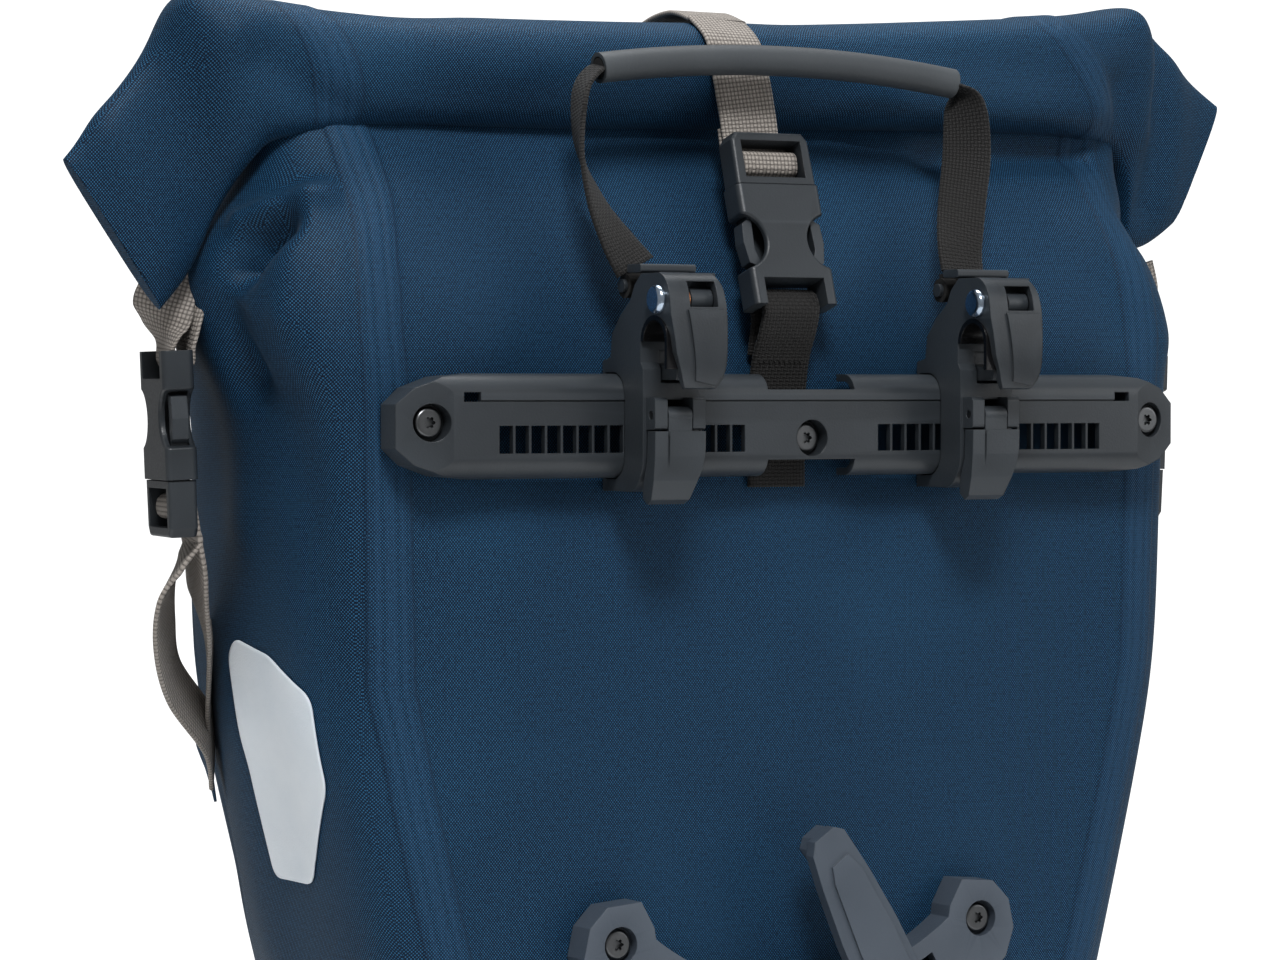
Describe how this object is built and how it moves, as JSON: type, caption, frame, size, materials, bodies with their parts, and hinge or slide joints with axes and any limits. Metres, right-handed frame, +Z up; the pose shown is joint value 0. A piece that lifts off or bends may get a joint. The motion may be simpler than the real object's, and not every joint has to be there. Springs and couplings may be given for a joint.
{
  "type": "bicycle pannier bag",
  "caption": "Roll-top bicycle pannier bag in coated fabric with sliding rack hooks, a lifting handle that opens them, a swivelling lower hook and side-release buckles.",
  "frame": {"origin": "on the floor under the middle of the bag's base, midway along the hook rail", "axes": "+Z up, the rack side of the bag faces -Y, +X to the right of someone looking at the rack side"},
  "size_m": [0.424, 0.208, 0.4211],
  "materials": {
    "fabric": "welded coated fabric with a fine woven dot pattern",
    "fabric_patch": "coated fabric",
    "reflective_film": "silver reflective film",
    "steel": "dark plated steel",
    "zinc_steel": "bright zinc plated steel",
    "copper_wire": "coppered spring wire",
    "grey_webbing": "woven grey webbing",
    "black_webbing": "woven black webbing",
    "grip_rubber": "soft rubber tube",
    "gloss_liner": "smooth black insert",
    "board": "flat plastic board",
    "light_plastic": "fine textured moulded plastic",
    "dark_plastic": "fine textured moulded plastic"
  },
  "bodies": {
    "bag": {"back_panel": "fabric", "bottom_panel": "fabric", "closing_strap": "grey_webbing", "front_panel": "fabric", "hook_rail": "dark_plastic", "hook_rail_nuts": "steel", "hook_rail_screws": "steel", "left_buckle_housing": "dark_plastic", "lower_rail": "light_plastic", "lower_rail_nuts": "steel", "lower_rail_screws": "steel", "middle_buckle_housing": "dark_plastic", "middle_housing_webbing": "black_webbing", "reflector_left": "reflective_film", "reflector_right": "reflective_film", "right_buckle_housing": "dark_plastic", "roll_batten": "board", "roll_tab_left": "grey_webbing", "roll_tab_right": "grey_webbing", "roll_top": "fabric", "side_gusset_left": "fabric", "side_gusset_right": "fabric", "stiffener_board": "board", "strap_anchor_front": "fabric_patch", "strap_anchor_left": "fabric_patch", "strap_anchor_right": "fabric_patch"},
    "handle": {"handle_grip": "grip_rubber", "handle_core": "black_webbing"},
    "lower_shoe": {"lower_hook_shoe": "light_plastic", "lower_hook_pivot": "zinc_steel"},
    "lower_blade": {"lower_hook": "light_plastic"},
    "middle_plug": {"middle_buckle_plug": "dark_plastic", "middle_buckle_prongs": "dark_plastic", "closing_strap_end": "grey_webbing"},
    "left_plug": {"left_buckle_plug": "dark_plastic", "left_buckle_prongs": "dark_plastic", "side_strap_left": "grey_webbing"},
    "right_plug": {"right_buckle_plug": "dark_plastic", "right_buckle_prongs": "dark_plastic", "side_strap_right": "grey_webbing"},
    "hook_left": {"hook_body_left": "dark_plastic", "hook_liner_left": "gloss_liner", "latch_pin_left": "zinc_steel", "clamp_pin_left": "steel"},
    "latch_lever_left": {"latch_left": "dark_plastic", "handle_loop_left": "black_webbing", "latch_spring_left": "copper_wire"},
    "clamp_left": {"clamp_lever_left": "dark_plastic"},
    "webbing_leg_left": {"handle_leg_left": "black_webbing"},
    "hook_right": {"hook_body_right": "dark_plastic", "hook_liner_right": "gloss_liner", "latch_pin_right": "zinc_steel", "clamp_pin_right": "steel"},
    "latch_lever_right": {"latch_right": "dark_plastic", "handle_loop_right": "black_webbing", "latch_spring_right": "copper_wire"},
    "clamp_right": {"clamp_lever_right": "dark_plastic"},
    "webbing_leg_right": {"handle_leg_right": "black_webbing"}
  },
  "joints": [
    {"name": "hook_slide_left", "type": "slide", "parent": "bag", "child": "hook_left", "axis": [1, 0, 0], "range_m": [-0.015, 0.015], "deforming": ["handle_leg_left"]},
    {"name": "latch_turn_left", "type": "hinge", "parent": "hook_left", "child": "latch_lever_left", "pos_m": [-0.056, -0.11, 0.3266], "axis": [1, 0, 0], "range_deg": [0, 17]},
    {"name": "clamp_turn_left", "type": "hinge", "parent": "hook_left", "child": "clamp_left", "pos_m": [-0.056, -0.104, 0.293], "axis": [-1, 0, 0], "range_deg": [0, 100]},
    {"name": "leg_turn_left", "type": "hinge", "parent": "handle", "child": "webbing_leg_left", "pos_m": [-0.0655, -0.0715, 0.396], "axis": [0, -1, 0], "range_deg": [-16, 16], "deforming": ["handle_leg_left"]},
    {"name": "hook_slide_right", "type": "slide", "parent": "bag", "child": "hook_right", "axis": [1, 0, 0], "range_m": [-0.015, 0.015], "deforming": ["handle_leg_right"]},
    {"name": "latch_turn_right", "type": "hinge", "parent": "hook_right", "child": "latch_lever_right", "pos_m": [0.056, -0.11, 0.3266], "axis": [1, 0, 0], "range_deg": [0, 17]},
    {"name": "clamp_turn_right", "type": "hinge", "parent": "hook_right", "child": "clamp_right", "pos_m": [0.056, -0.104, 0.293], "axis": [-1, 0, 0], "range_deg": [0, 100]},
    {"name": "leg_turn_right", "type": "hinge", "parent": "handle", "child": "webbing_leg_right", "pos_m": [0.0655, -0.0715, 0.396], "axis": [0, -1, 0], "range_deg": [-16, 16], "deforming": ["handle_leg_right"]},
    {"name": "handle_lift", "type": "slide", "parent": "bag", "child": "handle", "axis": [0, 0, 1], "range_m": [0, 0.0062], "stiffness_N_per_m": 300, "springref_m": -0.002, "deforming": ["handle_leg_left", "handle_leg_right"]},
    {"name": "lower_hook_travel", "type": "hinge", "parent": "bag", "child": "lower_shoe", "pos_m": [0, -0.085, 0.2072], "axis": [0, 1, 0], "range_deg": [-10.5, 42]},
    {"name": "lower_hook_turn", "type": "hinge", "parent": "lower_shoe", "child": "lower_blade", "pos_m": [0.026, -0.09, 0.1151], "axis": [0, 1, 0], "continuous": true},
    {"name": "middle_buckle_pull", "type": "slide", "parent": "bag", "child": "middle_plug", "axis": [0, 0.3, 0.9539], "range_m": [0, 0.016], "deforming": ["middle_buckle_prongs", "closing_strap_end"]},
    {"name": "left_buckle_pull", "type": "slide", "parent": "bag", "child": "left_plug", "axis": [0.0388, -0.0067, -0.9992], "range_m": [0, 0.026], "deforming": ["left_buckle_prongs", "side_strap_left"]},
    {"name": "right_buckle_pull", "type": "slide", "parent": "bag", "child": "right_plug", "axis": [-0.0388, -0.0067, -0.9992], "range_m": [0, 0.026], "deforming": ["right_buckle_prongs", "side_strap_right"]}
  ],
  "couplings": [
    {"joint": "latch_turn_left", "follows": "handle_lift", "rad_per_m": 46},
    {"joint": "latch_turn_right", "follows": "handle_lift", "rad_per_m": 46},
    {"joint": "leg_turn_left", "follows": "hook_slide_left", "rad_per_m": 16},
    {"joint": "leg_turn_right", "follows": "hook_slide_right", "rad_per_m": 16}
  ]
}
